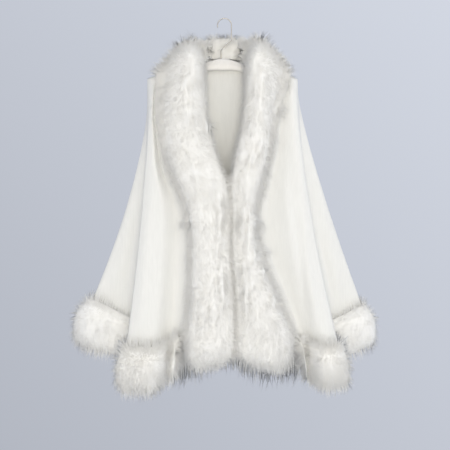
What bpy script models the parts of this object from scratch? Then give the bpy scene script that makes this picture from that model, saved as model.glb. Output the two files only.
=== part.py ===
"""A knit poncho trimmed with long fur, hanging on a clothes hanger.

Lengths are metres: +x is the wearer's left, +y the back, +z up. The garment is worked out about the hanger's
middle line, and everything is then moved so that the inner top of the hook, where it hangs, is the origin.

The knit is one cone of cloth round each hanger tip. Fold lines run from the shoulder line to the hem, and a
smooth curve through them at each level is the cloth's section there. The three knit panels are cut from that
surface. The fur is laid on it: bands down the front edges, a collar round the back neck, a trim on each hem.
"""

import bisect
import math
from collections import namedtuple

import bpy
from mathutils import Vector, noise

# Cloth and seams
WALL = 0.0024                # thickness of the knit
GAP = 0.0003                 # left between pieces that touch

# The shoulder line, where the cloth lies on the hanger's arms
SHOULDER_TOP = -0.106        # its height over the middle of the hanger, below the hook's inner top
SHOULDER_SLOPE = 0.297       # its fall for each metre sideways
WRAP_Y, WRAP_Z = 0.013, 0.012    # the cloth turns over the arm in a quarter ellipse of this size
WRAP_ANGLES = (0, 35, 65, 90)    # rows of the cloth on that turn, in degrees
FALL_ROWS = 9                # rows of the cloth from the arm down to the hem
BELLY = 0.62                 # 1 hangs straight from arm to hem, and less stands off the hanger sooner
COLUMN_STEP = 0.023          # widest spacing of the cloth's columns at the hem
FEWEST_STEPS = 2             # columns between two fold lines, at least

# Fur
BAND_GAP = 0.0006            # between a band and the cloth under it, whose facets turn differently
OVERHANG = 0.042             # how far a front band reaches past the cloth's free edge
BAND_COLUMNS = (0.3, 0.6, 0.82, 0.95)      # cloth columns under a band, as shares of its width on the cloth
OVERHANG_COLUMNS = (1.0, 0.92, 0.68, 0.34)     # columns of a band past the free edge, as shares of OVERHANG
BAND_ROUNDNESS = 3.2         # 2 is a half ellipse, and more is fuller at the sides
FLAT_SIDE = 7.0              # the same for the inner side where the two bands press against each other
TOUCH_FROM, TOUCH_FULL = -0.40, -0.48    # heights between which they come to do so
BAND_RIM = 0.003             # thickness of the pile at a band's very edge
PRESSED_RIM = 0.022          # the same where the two bands press against each other
SHOULDER_LEAN = 0.61         # on the shoulder the pile is highest near the neck: 1 would be midway
LEAN_ROWS = 3                # rows of the cloth below the arm over which that lean goes
TUCK = 0.012                 # how far the pile bulges behind the free edge
TAIL = 0.102                 # fall of a band below the cloth's hem
TAIL_ROWS = ((0.2, 1.0), (0.45, 1.0), (0.7, 0.93), (0.88, 0.74), (1.0, 0.4))   # shares of it and the width
TAIL_INSIDE = 0.018          # pile of that tail towards the body
TRIM_GAP = 0.0010            # left between the cloth's edge and the trim, which turn the folds side by side
TRIM_TURN = 1.5              # how strongly its pile turns straight to the front or back, out of the troughs
TRIM_CORNER = 0.003          # its upper side runs level this far out, under the knit's edge
TRIM_LIP = (0.18, 0.005, 0.22)   # then it rises over the knit: share of the pile, least width, height
TRIM_SHOULDER = (0.62, 0.87)     # and falls away from there: share of the pile, share of half its depth
TRIM_ANGLES = (64, 90, 120, 150, 180, 210, 240, 270, 300, 330)   # the rest of its section, from the top
TRIM_BEND = 16               # round a fold it has a section for every so many degrees of turn
TRIM_INSIDE = 0.018          # pile of the hem trim towards the body
TRIM_WEIGHT = 1.5            # how strongly its weight turns it straight down, against the cloth's slant
TRIM_ROUNDNESS = 0.85        # 1 is an ellipse, and less is fuller
ROOM_SHARE = 0.8             # share of the free room beside the cloth that the pile may fill
PILE_SPREAD = 0.7            # how fast the pile's thickness may change along the hem
FRONT_ROOM = 1.3             # the same between the two front folds, where the pile turns out of the troughs
TUFT_DEPTH = 0.20            # hollows between tufts, as a share of the pile
TUFT_SIZE = 0.055

# Collar at the back of the neck
COLLAR_TURNS = (0, 6.2, 15.5, 24.5, 40, 57, 74, 90)     # its sections, in degrees from shoulder to back
COLLAR_CLEAR = 0.0018        # it lies this much further off the cloth behind the shoulder line
COLLAR_SLANT = 0.164         # its slant behind the shoulder line, which clears the folds of the back
COLLAR_DROP = 0.0176         # how far its lower edge dips at the middle of the back
COLLAR_STAND = 0.090         # how far it stands above the neckline at the middle of the back
COLLAR_LEAN = 0.016          # how far its top leans back there
COLLAR_TUCK = 0.010
COLLAR_LOFT = 0.058          # thickness at the middle of the back
COLLAR_ON_CLOTH = (0.0, 0.25, 0.5, 0.75, 0.93, 1.0)
COLLAR_FREE = (1.0, 0.93, 0.72, 0.45, 0.2)

# Hanger
ARM_END = 0.190
ARM_HEIGHT = 0.026
ARM_FLAT = -0.145            # height of the lower edge where it runs straight between the arms
ARM_GAP = 0.0007             # between the arm and the cloth on it, whose facets cut its turn short
ARM_THICKNESS = 0.013
ARM_CREST = 0.010            # rounding of the two arms into each other at the top
ARM_STATIONS = 17
ARM_SIDES = 12
WIRE = 0.0030                # diameter of the hook's wire
HOOK_RADIUS = 0.018          # of the loop's inside
HOOK_SIDE = 0.0056           # the loop's middle lies this far to the wearer's left of the hanger's middle
HOOK_STEM = (-0.004, -0.0865)    # x of the stem, and the height where it bends
HOOK_SHOULDER = -0.060       # height where the bent wire stands up again
HOOK_OPEN = 15               # the arc's end, in degrees below the level of the loop's centre

# One level of a front band: its edges, measured outwards from the middle, and its thickness
BandRow = namedtuple("BandRow", "z inner outer loft")
# A fold line on the front: share 0 is the free edge, 1 the band's side and 2 the front fold
FrontRow = namedtuple("FrontRow", "name share hem_y hem_z pile depth")
# A fold line of the side or back: where it leaves the shoulder line and which way (0 front, 90 side,
# 180 back), where it reaches the hem, how late it spreads, and the size of the fur trim there
FoldRow = namedtuple("FoldRow", "name top turn hem_x hem_y hem_z bow pile depth")
Half = namedtuple("Half", "name side band front folds")

RIGHT = Half(
    name="right", side=-1,
    band=(
        BandRow(-0.130, 0.041, 0.184, 0.075),
        BandRow(-0.190, 0.039, 0.188, 0.074),
        BandRow(-0.280, 0.036, 0.184, 0.066),
        BandRow(-0.345, 0.020, 0.171, 0.064),
        BandRow(-0.423, -0.006, 0.155, 0.062),
        BandRow(-0.479, -0.017, 0.125, 0.060),
        BandRow(-0.549, -0.025, 0.098, 0.058),
        BandRow(-0.619, -0.021, 0.094, 0.060),
        BandRow(-0.787, -0.033, 0.098, 0.064),
        BandRow(-0.913, -0.036, 0.112, 0.066),
    ),
    front=(
        FrontRow("free edge", 0.0, -0.050, -0.866, 0.040, 0.118),
        FrontRow("band side", 1.0, -0.046, -0.878, 0.036, 0.118),
        FrontRow("trim start", 1.06, -0.038, -0.884, 0.042, 0.124),
        FrontRow("trough", 1.24, -0.024, -0.898, 0.046, 0.120),
        FrontRow("crest", 1.58, -0.064, -0.915, 0.046, 0.126),
    ),
    folds=(
        FoldRow("front fold", 0.1920, 50, 0.264, -0.052, -0.912, 1.60, 0.064, 0.126),
        FoldRow("return", 0.1945, 75, 0.238, -0.026, -0.895, 1.50, 0.040, 0.122),
        FoldRow("seam", 0.1965, 90, 0.212, 0.000, -0.868, 1.50, 0.034, 0.122),
        FoldRow("side face", 0.1955, 110, 0.295, 0.016, -0.822, 1.55, 0.044, 0.134),
        FoldRow("side fold", 0.1940, 130, 0.368, 0.030, -0.791, 1.62, 0.067, 0.138),
        FoldRow("side turn", 0.1875, 160, 0.340, 0.048, -0.796, 1.50, 0.052, 0.132),
        FoldRow("back trough", 0.1680, 180, 0.252, 0.036, -0.815, 1.30, 0.036, 0.128),
        FoldRow("back crest", 0.1350, 180, 0.160, 0.058, -0.833, 1.20, 0.036, 0.124),
        FoldRow("back hollow", 0.0600, 180, 0.072, 0.038, -0.844, 1.10, 0.034, 0.122),
    ),
)
LEFT = Half(
    name="left", side=1,
    band=(
        BandRow(-0.130, 0.055, 0.187, 0.086),
        BandRow(-0.190, 0.054, 0.176, 0.078),
        BandRow(-0.255, 0.052, 0.156, 0.068),
        BandRow(-0.311, 0.045, 0.150, 0.064),
        BandRow(-0.355, 0.032, 0.142, 0.062),
        BandRow(-0.417, 0.022, 0.129, 0.060),
        BandRow(-0.479, 0.020, 0.112, 0.058),
        BandRow(-0.549, 0.027, 0.094, 0.056),
        BandRow(-0.619, 0.024, 0.100, 0.058),
        BandRow(-0.770, 0.035, 0.158, 0.064),
        BandRow(-0.913, 0.038, 0.212, 0.066),
    ),
    front=(
        FrontRow("free edge", 0.0, -0.050, -0.866, 0.040, 0.118),
        FrontRow("band side", 1.0, -0.044, -0.884, 0.034, 0.118),
        FrontRow("trim start", 1.06, -0.039, -0.888, 0.046, 0.128),
        FrontRow("trough", 1.20, -0.030, -0.896, 0.042, 0.124),
        FrontRow("crest", 1.70, -0.066, -0.912, 0.044, 0.120),
    ),
    folds=(
        FoldRow("front fold", 0.1920, 50, 0.318, -0.052, -0.908, 1.50, 0.032, 0.118),
        FoldRow("return", 0.1945, 75, 0.292, -0.026, -0.893, 1.40, 0.036, 0.120),
        FoldRow("seam", 0.1965, 90, 0.262, 0.000, -0.868, 1.35, 0.032, 0.120),
        FoldRow("side face", 0.1955, 110, 0.333, 0.016, -0.834, 1.26, 0.038, 0.126),
        FoldRow("side fold", 0.1945, 130, 0.394, 0.030, -0.806, 1.24, 0.044, 0.130),
        FoldRow("side turn", 0.1875, 160, 0.362, 0.050, -0.806, 1.26, 0.038, 0.126),
        FoldRow("back trough", 0.1650, 180, 0.276, 0.036, -0.818, 1.25, 0.036, 0.124),
        FoldRow("back crest", 0.1250, 180, 0.176, 0.060, -0.834, 1.20, 0.036, 0.124),
        FoldRow("back hollow", 0.0600, 180, 0.082, 0.040, -0.844, 1.10, 0.034, 0.122),
    ),
)
CENTRE = FoldRow("centre back", 0.0, 180, 0.0, 0.052, -0.848, 1.0, 0.036, 0.122)

# A fold line as it hangs: its row, where and which way it leaves the shoulder line, and its points below
Line = namedtuple("Line", "row top heading points")
Cloth = namedtuple("Cloth", "points normals names pile depth")
# A place along a hem trim: the cloth's edge, its slant, which way the pile stands and how far it may reach
TrimColumn = namedtuple("TrimColumn", "foot slant way out_room in_room half_depth")


def mix(a, b, share):
    """The value that lies the given share of the way from a to b."""
    return a + (b - a) * share


def through(places, values, at):
    """A smooth curve through the values, which never overshoots one of them."""
    rises = [(v1 - v0) / (p1 - p0) for p0, p1, v0, v1 in zip(places, places[1:], values, values[1:])]
    slopes = [rises[0]]
    for before, after in zip(rises, rises[1:]):
        slopes.append(2 * before * after / (before + after) if before * after > 0 else 0.0)
    slopes.append(rises[-1])
    i = min(max(bisect.bisect_right(places, at) - 1, 0), len(places) - 2)
    length = places[i + 1] - places[i]
    t = min(max((at - places[i]) / length, 0.0), 1.0)
    keep, turn = (1 + 2 * t) * (1 - t) ** 2, t * (1 - t) ** 2
    keep_next, turn_next = t * t * (3 - 2 * t), t * t * (t - 1)
    return (values[i] * keep + values[i + 1] * keep_next
            + length * (slopes[i] * turn + slopes[i + 1] * turn_next))


def shoulder_z(x):
    """Height of the shoulder line at a distance from the middle."""
    return SHOULDER_TOP - SHOULDER_SLOPE * abs(x)


def neck_half(half):
    """Where the cloth's free edge crosses the shoulder line, measured from the middle."""
    return half.band[0].inner + OVERHANG


def neckline_z(x):
    """Height of the back neckline: straight from one shoulder's neck point to the other's."""
    left, right = neck_half(LEFT), -neck_half(RIGHT)
    return mix(shoulder_z(right), shoulder_z(left), (x - right) / (left - right))


def wrap_normal(x, fall):
    """Direction out of the cloth where it has fallen this far below the shoulder line, on the back."""
    level = max(0.0, 1 - fall / WRAP_Z)
    up = Vector((math.copysign(SHOULDER_SLOPE, x), 0, 1)).normalized()
    back = Vector((0, 1, 0))
    return (up * (level / WRAP_Z) + back * (math.sqrt(1 - level * level) / WRAP_Y)).normalized()


def wrap_reach(fall):
    """How far out from the shoulder line the cloth is, that far below it."""
    return WRAP_Y * math.sqrt(1 - max(0.0, 1 - fall / WRAP_Z) ** 2)


def band_at(half, z):
    """Inner edge, outer edge and thickness of a front band at a height."""
    places = [-row.z for row in half.band]
    return tuple(through(places, [getattr(row, column) for row in half.band], -z)
                 for column in ("inner", "outer", "loft"))


def wrap_point(top, heading, angle):
    """A point of the cloth's turn over the arm, for a fold line that leaves the shoulder line at x = top."""
    ridge = shoulder_z(top)
    fall = WRAP_Z * (1 - math.cos(math.radians(angle)))
    if abs(heading - 180) < 1 and -neck_half(RIGHT) < top < neck_half(LEFT):
        fall += ridge - neckline_z(top)
    reach = wrap_reach(fall)
    turn = math.radians(heading)
    return Vector((top - math.sin(turn) * reach, -math.cos(turn) * reach, ridge - fall))


def fold_line(half, row):
    """One fold line of the side or back: where and which way it starts, and its points down to the hem."""
    top = half.side * row.top
    heading = row.turn if half is RIGHT else 360 - row.turn
    start = wrap_point(top, heading, WRAP_ANGLES[-1])
    points = []
    for step in range(1, FALL_ROWS + 1):
        share = step / FALL_ROWS
        points.append(Vector((mix(start.x, half.side * row.hem_x, share ** row.bow),
                              mix(start.y, row.hem_y, share ** BELLY),
                              mix(start.z, row.hem_z, share))))
    return Line(row, top, heading, points)


def front_line(half, row, fold):
    """One line of the front, which keeps its share between free edge, band side and front fold."""
    free, side = neck_half(half), half.band[0].outer
    top = mix(free, side, row.share) if row.share <= 1 else mix(side, half.folds[0].top, row.share - 1)
    heading = 0 if half is RIGHT else 360
    start = wrap_point(half.side * top, heading, WRAP_ANGLES[-1])
    points = []
    for step in range(1, FALL_ROWS + 1):
        share = step / FALL_ROWS
        z = mix(start.z, row.hem_z, share)
        inner, outer, _ = band_at(half, z)
        x = mix(inner + OVERHANG, outer, row.share)
        if row.share > 1:
            x = mix(outer, abs(fold.points[step - 1].x), row.share - 1)
        points.append(Vector((half.side * x, mix(start.y, row.hem_y, share ** BELLY), z)))
    return Line(row, half.side * top, heading, points)


def half_lines(half):
    """All fold lines of one half, from the front's free edge to the back."""
    folds = [fold_line(half, row) for row in half.folds]
    return [front_line(half, row, folds[0]) for row in half.front] + folds


def column_places(lines, places):
    """Where the cloth's columns lie along the hem, and the name of the fold line that is on each."""
    columns, names = [], []
    for i, line in enumerate(lines[:-1]):
        length = places[i + 1] - places[i]
        pair = {line.row.name, lines[i + 1].row.name}
        if pair == {"free edge", "band side"}:
            shares = sorted(s if line.row.name == "free edge" else 1 - s for s in BAND_COLUMNS)
        elif pair == {"band side", "trim start"}:
            shares = []
        else:
            steps = max(FEWEST_STEPS, math.ceil(length / COLUMN_STEP))
            shares = [k / steps for k in range(1, steps)]
        columns += [places[i]] + [places[i] + share * length for share in shares]
        names += [line.row.name] + [""] * len(shares)
    return columns + [places[-1]], names + [lines[-1].row.name]


def drape_cloth():
    """The middle surface of the whole garment: points and outward normals by level and column."""
    lines = half_lines(RIGHT) + [fold_line(RIGHT, CENTRE)] + half_lines(LEFT)[::-1]
    places = [0.0]
    for line, following in zip(lines, lines[1:]):
        places.append(places[-1] + (following.points[-1].xy - line.points[-1].xy).length)
    columns, names = column_places(lines, places)

    def across(values):
        return [through(places, values, at) for at in columns]

    starts = list(zip(across([line.top for line in lines]), across([line.heading for line in lines])))
    grid = [[wrap_point(top, heading, angle) for top, heading in starts] for angle in WRAP_ANGLES]
    for step in range(FALL_ROWS):
        axes = [across([line.points[step][axis] for line in lines]) for axis in range(3)]
        grid.append([Vector(point) for point in zip(*axes)])

    normals = []
    for level, row in enumerate(grid):
        above, below = grid[max(level - 1, 0)], grid[min(level + 1, len(grid) - 1)]
        out = []
        for c, point in enumerate(row):
            along = row[min(c + 1, len(row) - 1)] - row[max(c - 1, 0)]
            normal = along.cross(below[c] - above[c]).normalized()
            if level == 0:
                normal = wrap_normal(point.x, max(0.0, shoulder_z(point.x) - point.z))
            if names[c] == "seam":
                normal = Vector((normal.x, 0, normal.z)).normalized()
            out.append(normal)
        normals.append(out)
    pile = across([line.row.pile for line in lines])
    depth = across([line.row.depth for line in lines])
    return Cloth(grid, normals, names, pile, depth)


def pile_ways(cloth):
    """Which way the trim's pile stands out at each column: the cloth's normal, turned forwards or back."""
    ways = []
    for normal in cloth.normals[-1]:
        level = Vector((normal.x, normal.y, 0)).normalized()
        ways.append(Vector((level.x, level.y * (1 + TRIM_TURN * abs(level.y)), 0)).normalized())
    return ways


def room_beside(points, ways):
    """Free room beside the cloth at the hem: the largest round that fits there without a squeeze."""
    rooms = []
    for point, way in zip(points, ways):
        room = 1.0
        for other in points:
            towards = way.dot(other - point)
            if towards > 1e-6:
                room = min(room, (other - point).length_squared / (2 * towards))
        rooms.append(room)
    return rooms


def eased(values, points):
    """The values, lowered where they would change faster along the points than fur spreads."""
    values = list(values)
    rises = [PILE_SPREAD * (q - p).length for p, q in zip(points, points[1:])]
    for i, rise in enumerate(rises):
        values[i + 1] = min(values[i + 1], values[i] + rise)
    for i in reversed(range(len(rises))):
        values[i] = min(values[i], values[i + 1] + rises[i])
    return values


def tufts(point):
    """Share of the full pile that stands at a point: fur parts into tufts with hollows between."""
    value = noise.noise(point / TUFT_SIZE)
    return 1 - TUFT_DEPTH * min(max(0.5 + value, 0.0), 1.0)


def finish(name, vertices, faces, colour, roughness):
    """Make one object with its own material from a closed mesh."""
    mesh = bpy.data.meshes.new(name)
    mesh.from_pydata([tuple(v - Vector((HOOK_SIDE, 0, 0))) for v in vertices], [], faces)
    mesh.validate()
    mesh.update()
    mesh.shade_smooth()
    mesh.set_sharp_from_angle(angle=math.radians(50))
    material = bpy.data.materials.new(name)
    material.use_nodes = True
    shader = material.node_tree.nodes["Principled BSDF"]
    shader.inputs["Base Color"].default_value = (*colour, 1)
    shader.inputs["Roughness"].default_value = roughness
    shader.inputs["Metallic"].default_value = 0.0
    mesh.materials.append(material)
    thing = bpy.data.objects.new(name, mesh)
    bpy.context.scene.collection.objects.link(thing)
    return thing


def shell(outer, inner):
    """Vertices and faces of the closed solid between two grids of points, the outer one facing out."""
    rows, columns = len(outer), len(outer[0])
    vertices = [p for row in outer for p in row] + [p for row in inner for p in row]
    back = rows * columns

    def at(r, c):
        return r * columns + c

    faces = []
    for r in range(rows - 1):
        for c in range(columns - 1):
            quad = (at(r, c), at(r, c + 1), at(r + 1, c + 1), at(r + 1, c))
            faces.append(quad)
            faces.append(tuple(back + i for i in quad[::-1]))
    rim = [at(0, c) for c in range(columns)]
    rim += [at(r, columns - 1) for r in range(1, rows)]
    rim += [at(rows - 1, c) for c in range(columns - 2, -1, -1)]
    rim += [at(r, 0) for r in range(rows - 2, 0, -1)]
    for a, b in zip(rim, rim[1:] + rim[:1]):
        faces.append((b, a, back + a, back + b))
    return vertices, faces


def tube(loops):
    """Vertices and faces of the solid through closed loops, capped at both ends."""
    sides = len(loops[0])
    vertices = [p for loop in loops for p in loop]
    faces = [tuple(range(sides))[::-1]]
    for r in range(len(loops) - 1):
        for c in range(sides):
            d = (c + 1) % sides
            faces.append((r * sides + c, r * sides + d, (r + 1) * sides + d, (r + 1) * sides + c))
    faces.append(tuple(range((len(loops) - 1) * sides, len(loops) * sides)))
    return vertices, faces


KNIT_COLOUR = (0.86, 0.85, 0.81)
FUR_COLOUR = (0.90, 0.89, 0.85)
HANGER_COLOUR = (0.86, 0.84, 0.81)
WIRE_COLOUR = (0.55, 0.52, 0.48)


def seam_columns(cloth):
    """Columns on which the two side seams run."""
    return [c for c, name in enumerate(cloth.names) if name == "seam"]


def make_panel(name, cloth, first, last, shift):
    """A knit panel: the wall round the cloth's middle surface between two columns."""
    move = Vector((0, shift, 0))
    outer, inner = [], []
    for points, normals in zip(cloth.points, cloth.normals):
        pairs = list(zip(points, normals))[first:last + 1]
        outer.append([p + n * (WALL / 2) + move for p, n in pairs])
        inner.append([p - n * (WALL / 2) + move for p, n in pairs])
    return finish(name, *shell(outer, inner), KNIT_COLOUR, 0.85)


def trim_section(out_room, in_room, half_depth):
    """A trim's section, from its top round the outside: each point's reach, rise and firmness."""
    share, least, height = TRIM_LIP
    section = [(0.0, half_depth, 1.0),
               (min(TRIM_CORNER, 0.2 * out_room), half_depth, 1.0),
               (max(share * out_room, min(least, 0.4 * out_room)), half_depth + height * out_room, 1.0),
               (TRIM_SHOULDER[0] * out_room, TRIM_SHOULDER[1] * half_depth, TRIM_SHOULDER[1])]
    for degrees in TRIM_ANGLES:
        rise, side = math.cos(math.radians(degrees)), math.sin(math.radians(degrees))
        reach = out_room if side > 0 else in_room
        section.append((math.copysign(abs(side) ** TRIM_ROUNDNESS, side) * reach,
                        math.copysign(abs(rise) ** TRIM_ROUNDNESS, rise) * half_depth, max(0.0, rise)))
    return section


def turned(columns):
    """The trim's columns, with more of them put in where the pile turns round a fold."""
    more = [columns[0]]
    for before, after in zip(columns, columns[1:]):
        steps = math.ceil(math.degrees(before.way.angle(after.way)) / TRIM_BEND)
        for k in range(1, steps):
            share = k / steps
            way = before.way.slerp(after.way, share)
            rest = [mix(a, b, share) for a, b in zip(before[:2] + before[3:], after[:2] + after[3:])]
            more.append(TrimColumn(*rest[:2], way, *rest[2:]))
        more.append(after)
    return more


def make_trim(name, cloth, first, last, shift):
    """Fur sewn round the hem between two columns: a round tube that hangs from the cloth's edge."""
    feet = cloth.points[-1]
    level = [foot.to_2d().to_3d() for foot in feet]
    ways = pile_ways(cloth)
    folds = [c for c, name in enumerate(cloth.names) if name == "front fold"]
    shares = [ROOM_SHARE if folds[0] <= c <= folds[1] else FRONT_ROOM for c in range(len(feet))]
    rooms = [room * share for room, share in zip(room_beside(level, ways), shares)]
    out_room = eased([min(pair) for pair in zip(cloth.pile, rooms)], feet)
    inner_rooms = room_beside(level, [-way for way in ways])
    in_room = eased([min(TRIM_INSIDE, room * ROOM_SHARE) for room in inner_rooms], feet)
    columns = []
    for c in range(first, last + 1):
        slant = (feet[c] - cloth.points[-2][c]).normalized()
        columns.append(TrimColumn(feet[c], slant, ways[c], out_room[c], in_room[c], cloth.depth[c] / 2))
    loops = []
    for column in turned(columns):
        down = (column.slant + Vector((0, 0, -TRIM_WEIGHT))).normalized()
        centre = column.foot + down * (column.half_depth + TRIM_GAP)
        loop = []
        for across, along, firm in trim_section(column.out_room, column.in_room, column.half_depth):
            point = centre + column.way * across - down * along
            point = centre + (point - centre) * mix(tufts(point), 1.0, firm)
            loop.append(point + Vector((0, shift, 0)))
        loops.append(loop[::-1])
    return finish(name, *tube(loops), FUR_COLOUR, 0.9)


def band_crown(share, loft, lean, pressed=0.0):
    """Height of a band's pile above its base, at a share of the way across from its inner edge.

    With lean it falls away outwards, and where it is pressed its inner side is flat and thick.
    """
    s = 2 * min(max(share, 0.0), 1.0) ** mix(1, SHOULDER_LEAN, lean) - 1
    pressed = pressed if s < 0 else 0.0
    roundness = mix(mix(BAND_ROUNDNESS, FLAT_SIDE, pressed), 2, lean)
    level = max(0.0, 1 - abs(s) ** roundness) ** mix(0.5, 1, lean)
    rim = mix(BAND_RIM, PRESSED_RIM, pressed)
    return rim + (loft - rim) * level


def make_band(half, cloth, order):
    """A fur band laid on a front's outer points, reaching past its free edge and below its hem."""
    start = cloth.names.index("free edge") if half is RIGHT else len(cloth.names) - 1
    columns = [start + order * k for k in range(len(BAND_COLUMNS) + 2)]
    bases, crowns = [], []

    def from_middle(point):
        return point.x * half.side

    def lean_at(level):
        return 1 - min(max((level - len(WRAP_ANGLES) + 1) / LEAN_ROWS, 0.0), 1.0)

    def add(base, front, out, loft, lean=0.0):
        inner, outer = from_middle(base[0]), from_middle(base[-1])
        pressed = min(max((TOUCH_FROM - base[0].z) / (TOUCH_FROM - TOUCH_FULL), 0.0), 1.0)
        crown = []
        for p in front:
            share = (from_middle(p) - inner) / (outer - inner)
            crown.append(p + out * (band_crown(share, loft, lean, pressed) * tufts(p)))
        bases.append(base)
        crowns.append(crown)

    levels = []
    for level, (points, normals) in enumerate(zip(cloth.points, cloth.normals)):
        on_cloth = [points[c] + normals[c] * (WALL / 2 + BAND_GAP) for c in columns]
        edge = on_cloth[0]
        fallen = min(max((level - len(WRAP_ANGLES) + 1) / 2, 0.0), 1.0)
        towards = Vector((-half.side, 0, SHOULDER_SLOPE * (1 - fallen)))
        deep = fallen * TUCK
        free = []
        for share in OVERHANG_COLUMNS:
            bulge = deep * 4 * share * (1 - share)
            free.append(edge + towards * (OVERHANG * share) + Vector((0, bulge, 0)))
        levels.append(free + on_cloth)
    for level, base in enumerate(levels):
        loft = band_at(half, base[0].z)[2]
        if level < len(WRAP_ANGLES):
            angle = math.radians(WRAP_ANGLES[level])
            up = Vector((half.side * SHOULDER_SLOPE, 0, 1)).normalized()
            out = up * math.cos(angle) + Vector((0, -1, 0)) * math.sin(angle)
        else:
            out = Vector((0, -1, 0))
            between = [(p + q) / 2 for p, q in zip(levels[level - 1], base)]
            add(between, between, out, loft, lean_at(level - 0.5))
        add(base, base, out, loft, lean_at(level))
    hem = levels[-1]
    centre = (from_middle(hem[0]) + from_middle(hem[-1])) / 2
    for fall, width in TAIL_ROWS:
        front, base = [], []
        for p in hem:
            s = (from_middle(p) - centre) / (from_middle(hem[-1]) - centre)
            inside = TAIL_INSIDE * math.sqrt(max(0.0, 1 - s * s)) * width
            x = half.side * (centre + (from_middle(p) - centre) * width)
            front.append(Vector((x, p.y, p.z - TAIL * fall)))
            base.append(front[-1] + Vector((0, inside, 0)))
        add(base, front, Vector((0, -1, 0)), half.band[-1].loft * width)
    move = Vector((0, -GAP / 2, 0))
    crowns = [[p + move for p in row] for row in crowns]
    bases = [[p + move for p in row] for row in bases]
    if order < 0:
        crowns, bases = [row[::-1] for row in crowns], [row[::-1] for row in bases]
    return finish(f"front_band_{half.name}", *shell(crowns, bases), FUR_COLOUR, 0.9)


def back_surface(x, z, clear):
    """A point that is the given distance clear of the back's outside, just below the shoulder line."""
    fall = max(0.0, shoulder_z(x) - z)
    y = wrap_reach(fall) + COLLAR_SLANT * max(0.0, fall - WRAP_Z)
    return Vector((x, y, z)) + wrap_normal(x, fall) * (WALL / 2 + clear)


def make_collar():
    """Fur round the back of the neck: flat on each shoulder, and standing up behind the neck."""
    bases, crowns = [], []
    for degrees in COLLAR_TURNS + tuple(180 - t for t in COLLAR_TURNS[-2::-1]):
        turn = math.radians(degrees)
        half = RIGHT if degrees <= 90 else LEFT
        clear = GAP + (COLLAR_CLEAR if 0 < degrees < 180 else 0.0)
        cos, sin = abs(math.cos(turn)), math.sin(turn)
        neck_x = half.side * neck_half(half) * cos
        outer_x = half.side * half.band[0].outer * cos
        outer_z = shoulder_z(half.band[0].outer) - COLLAR_DROP * sin
        on_cloth = []
        for share in COLLAR_ON_CLOTH:
            x = mix(neck_x, outer_x, share)
            z = mix(neckline_z(neck_x), outer_z, share)
            on_cloth.append(back_surface(x, min(z, shoulder_z(x)), clear))
        reach = Vector((-half.side * OVERHANG * cos, COLLAR_LEAN * sin,
                        SHOULDER_SLOPE * OVERHANG * cos + COLLAR_STAND * sin))
        out = Vector((half.side * SHOULDER_SLOPE * cos, sin, cos)).normalized()
        free = []
        for share in COLLAR_FREE:
            inside = COLLAR_TUCK * 4 * share * (1 - share) * sin
            free.append(on_cloth[0] + reach * share + Vector((0, -inside, 0)))
        base = free + on_cloth
        length = [0.0]
        for p, q in zip(base, base[1:]):
            length.append(length[-1] + (q - p).length)
        loft = mix(half.band[0].loft, COLLAR_LOFT, sin)
        shares = [at / length[-1] for at in length]
        bases.append(base)
        crowns.append([p + out * (band_crown(share, loft, cos) * tufts(p)) for p, share in zip(base, shares)])
    move = Vector((0, GAP / 2, 0))
    crowns = [[p + move for p in row[::-1]] for row in crowns]
    bases = [[p + move for p in row[::-1]] for row in bases]
    return finish("collar_fur", *shell(crowns, bases), FUR_COLOUR, 0.9)


def arm_top(x):
    """Height of the hanger's top edge, just under the cloth that lies on it."""
    slant = math.hypot(1, SHOULDER_SLOPE)
    return SHOULDER_TOP - (WALL / 2 + ARM_GAP) * slant - SHOULDER_SLOPE * math.hypot(x, ARM_CREST)


def make_hanger_body():
    """The hanger's two arms in one rounded bar, whose lower edge runs straight between them."""
    loops = []
    for k in range(ARM_STATIONS):
        angle = math.pi * k / (ARM_STATIONS - 1)
        x = -ARM_END * math.cos(angle)
        size = 0.35 + 0.65 * min(1.0, (math.sin(angle) / 0.45)) ** 0.5
        loop = []
        for s in range(ARM_SIDES):
            turn = math.tau * s / ARM_SIDES
            rise, side = math.cos(turn), math.sin(turn)
            y = math.copysign(abs(side) ** 0.7, side) * ARM_THICKNESS / 2 * size
            height = arm_top(x) - min(arm_top(x) - ARM_HEIGHT, ARM_FLAT)
            z = arm_top(x) - height / 2 + math.copysign(abs(rise) ** 0.8, rise) * height / 2 * size
            loop.append(Vector((x, y, z)))
        loops.append(loop[::-1])
    return finish("hanger_body", *tube(loops), HANGER_COLOUR, 0.35)


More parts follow.
